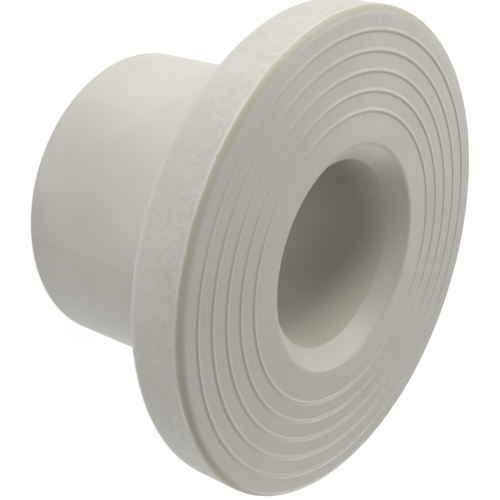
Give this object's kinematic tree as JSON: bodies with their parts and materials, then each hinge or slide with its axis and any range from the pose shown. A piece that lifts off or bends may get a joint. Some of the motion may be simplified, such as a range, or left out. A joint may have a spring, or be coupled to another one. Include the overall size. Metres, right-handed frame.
{
  "type": "stub flange",
  "caption": "One-piece plastic stub flange: a butt-weld spigot with a wide round collar, a beaded sealing face and a conical mouth to the bore.",
  "frame": {"origin": "centre of the weld end's face, at the bottom of the part", "axes": "+Z along the bore, from the weld end up to the sealing face; the part is round, so X and Y are free"},
  "size_m": [0.138, 0.138, 0.08],
  "materials": {
    "stub_flange": "matt moulded polypropylene, warm light grey"
  },
  "bodies": {
    "root": {"stub_flange": "stub_flange"}
  },
  "joints": []
}
